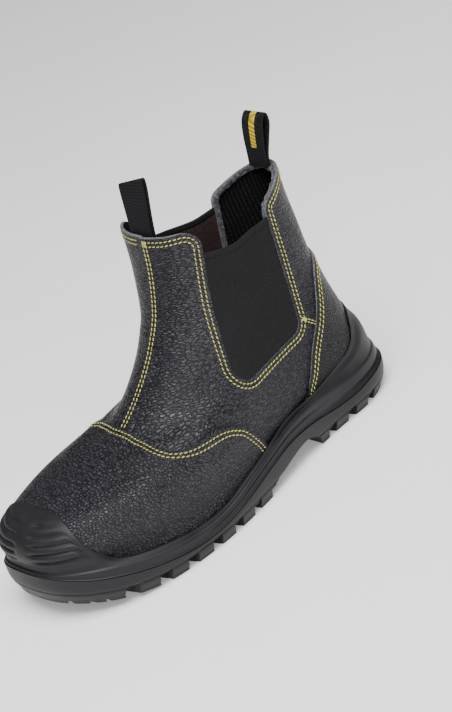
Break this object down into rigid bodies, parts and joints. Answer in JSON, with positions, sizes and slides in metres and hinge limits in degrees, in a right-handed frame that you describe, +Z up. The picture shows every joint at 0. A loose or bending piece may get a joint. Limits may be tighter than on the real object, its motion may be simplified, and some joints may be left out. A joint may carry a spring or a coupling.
{
  "type": "safety boot",
  "caption": "Left slip-on ankle safety boot: hollow black leather upper with elastic sides, ribbed toe bumper, heel cup, lugged sole and webbing pull tabs, for protecting a foot.",
  "frame": {"origin": "middle of the sole's outline, on the floor that the boot stands on", "axes": "+X towards the toe, +Y towards the outer (lateral) side, +Z up"},
  "size_m": [0.307, 0.1166, 0.2142],
  "materials": {
    "sole": "matte moulded, dark grey-black",
    "leather": "pebbled grain, semi-matte black",
    "elastic": "fine ribbed elastic, charcoal",
    "webbing": "woven webbing, black",
    "insole": "fabric covered foam, dark grey"
  },
  "bodies": {
    "root": {"outsole": "sole", "midsole": "sole", "upper": "leather", "vamp": "leather", "heel_counter": "leather", "gusset_lateral": "elastic", "gusset_medial": "elastic", "pull_tab_front": "webbing", "pull_tab_back": "webbing", "insole": "insole"}
  },
  "joints": []
}
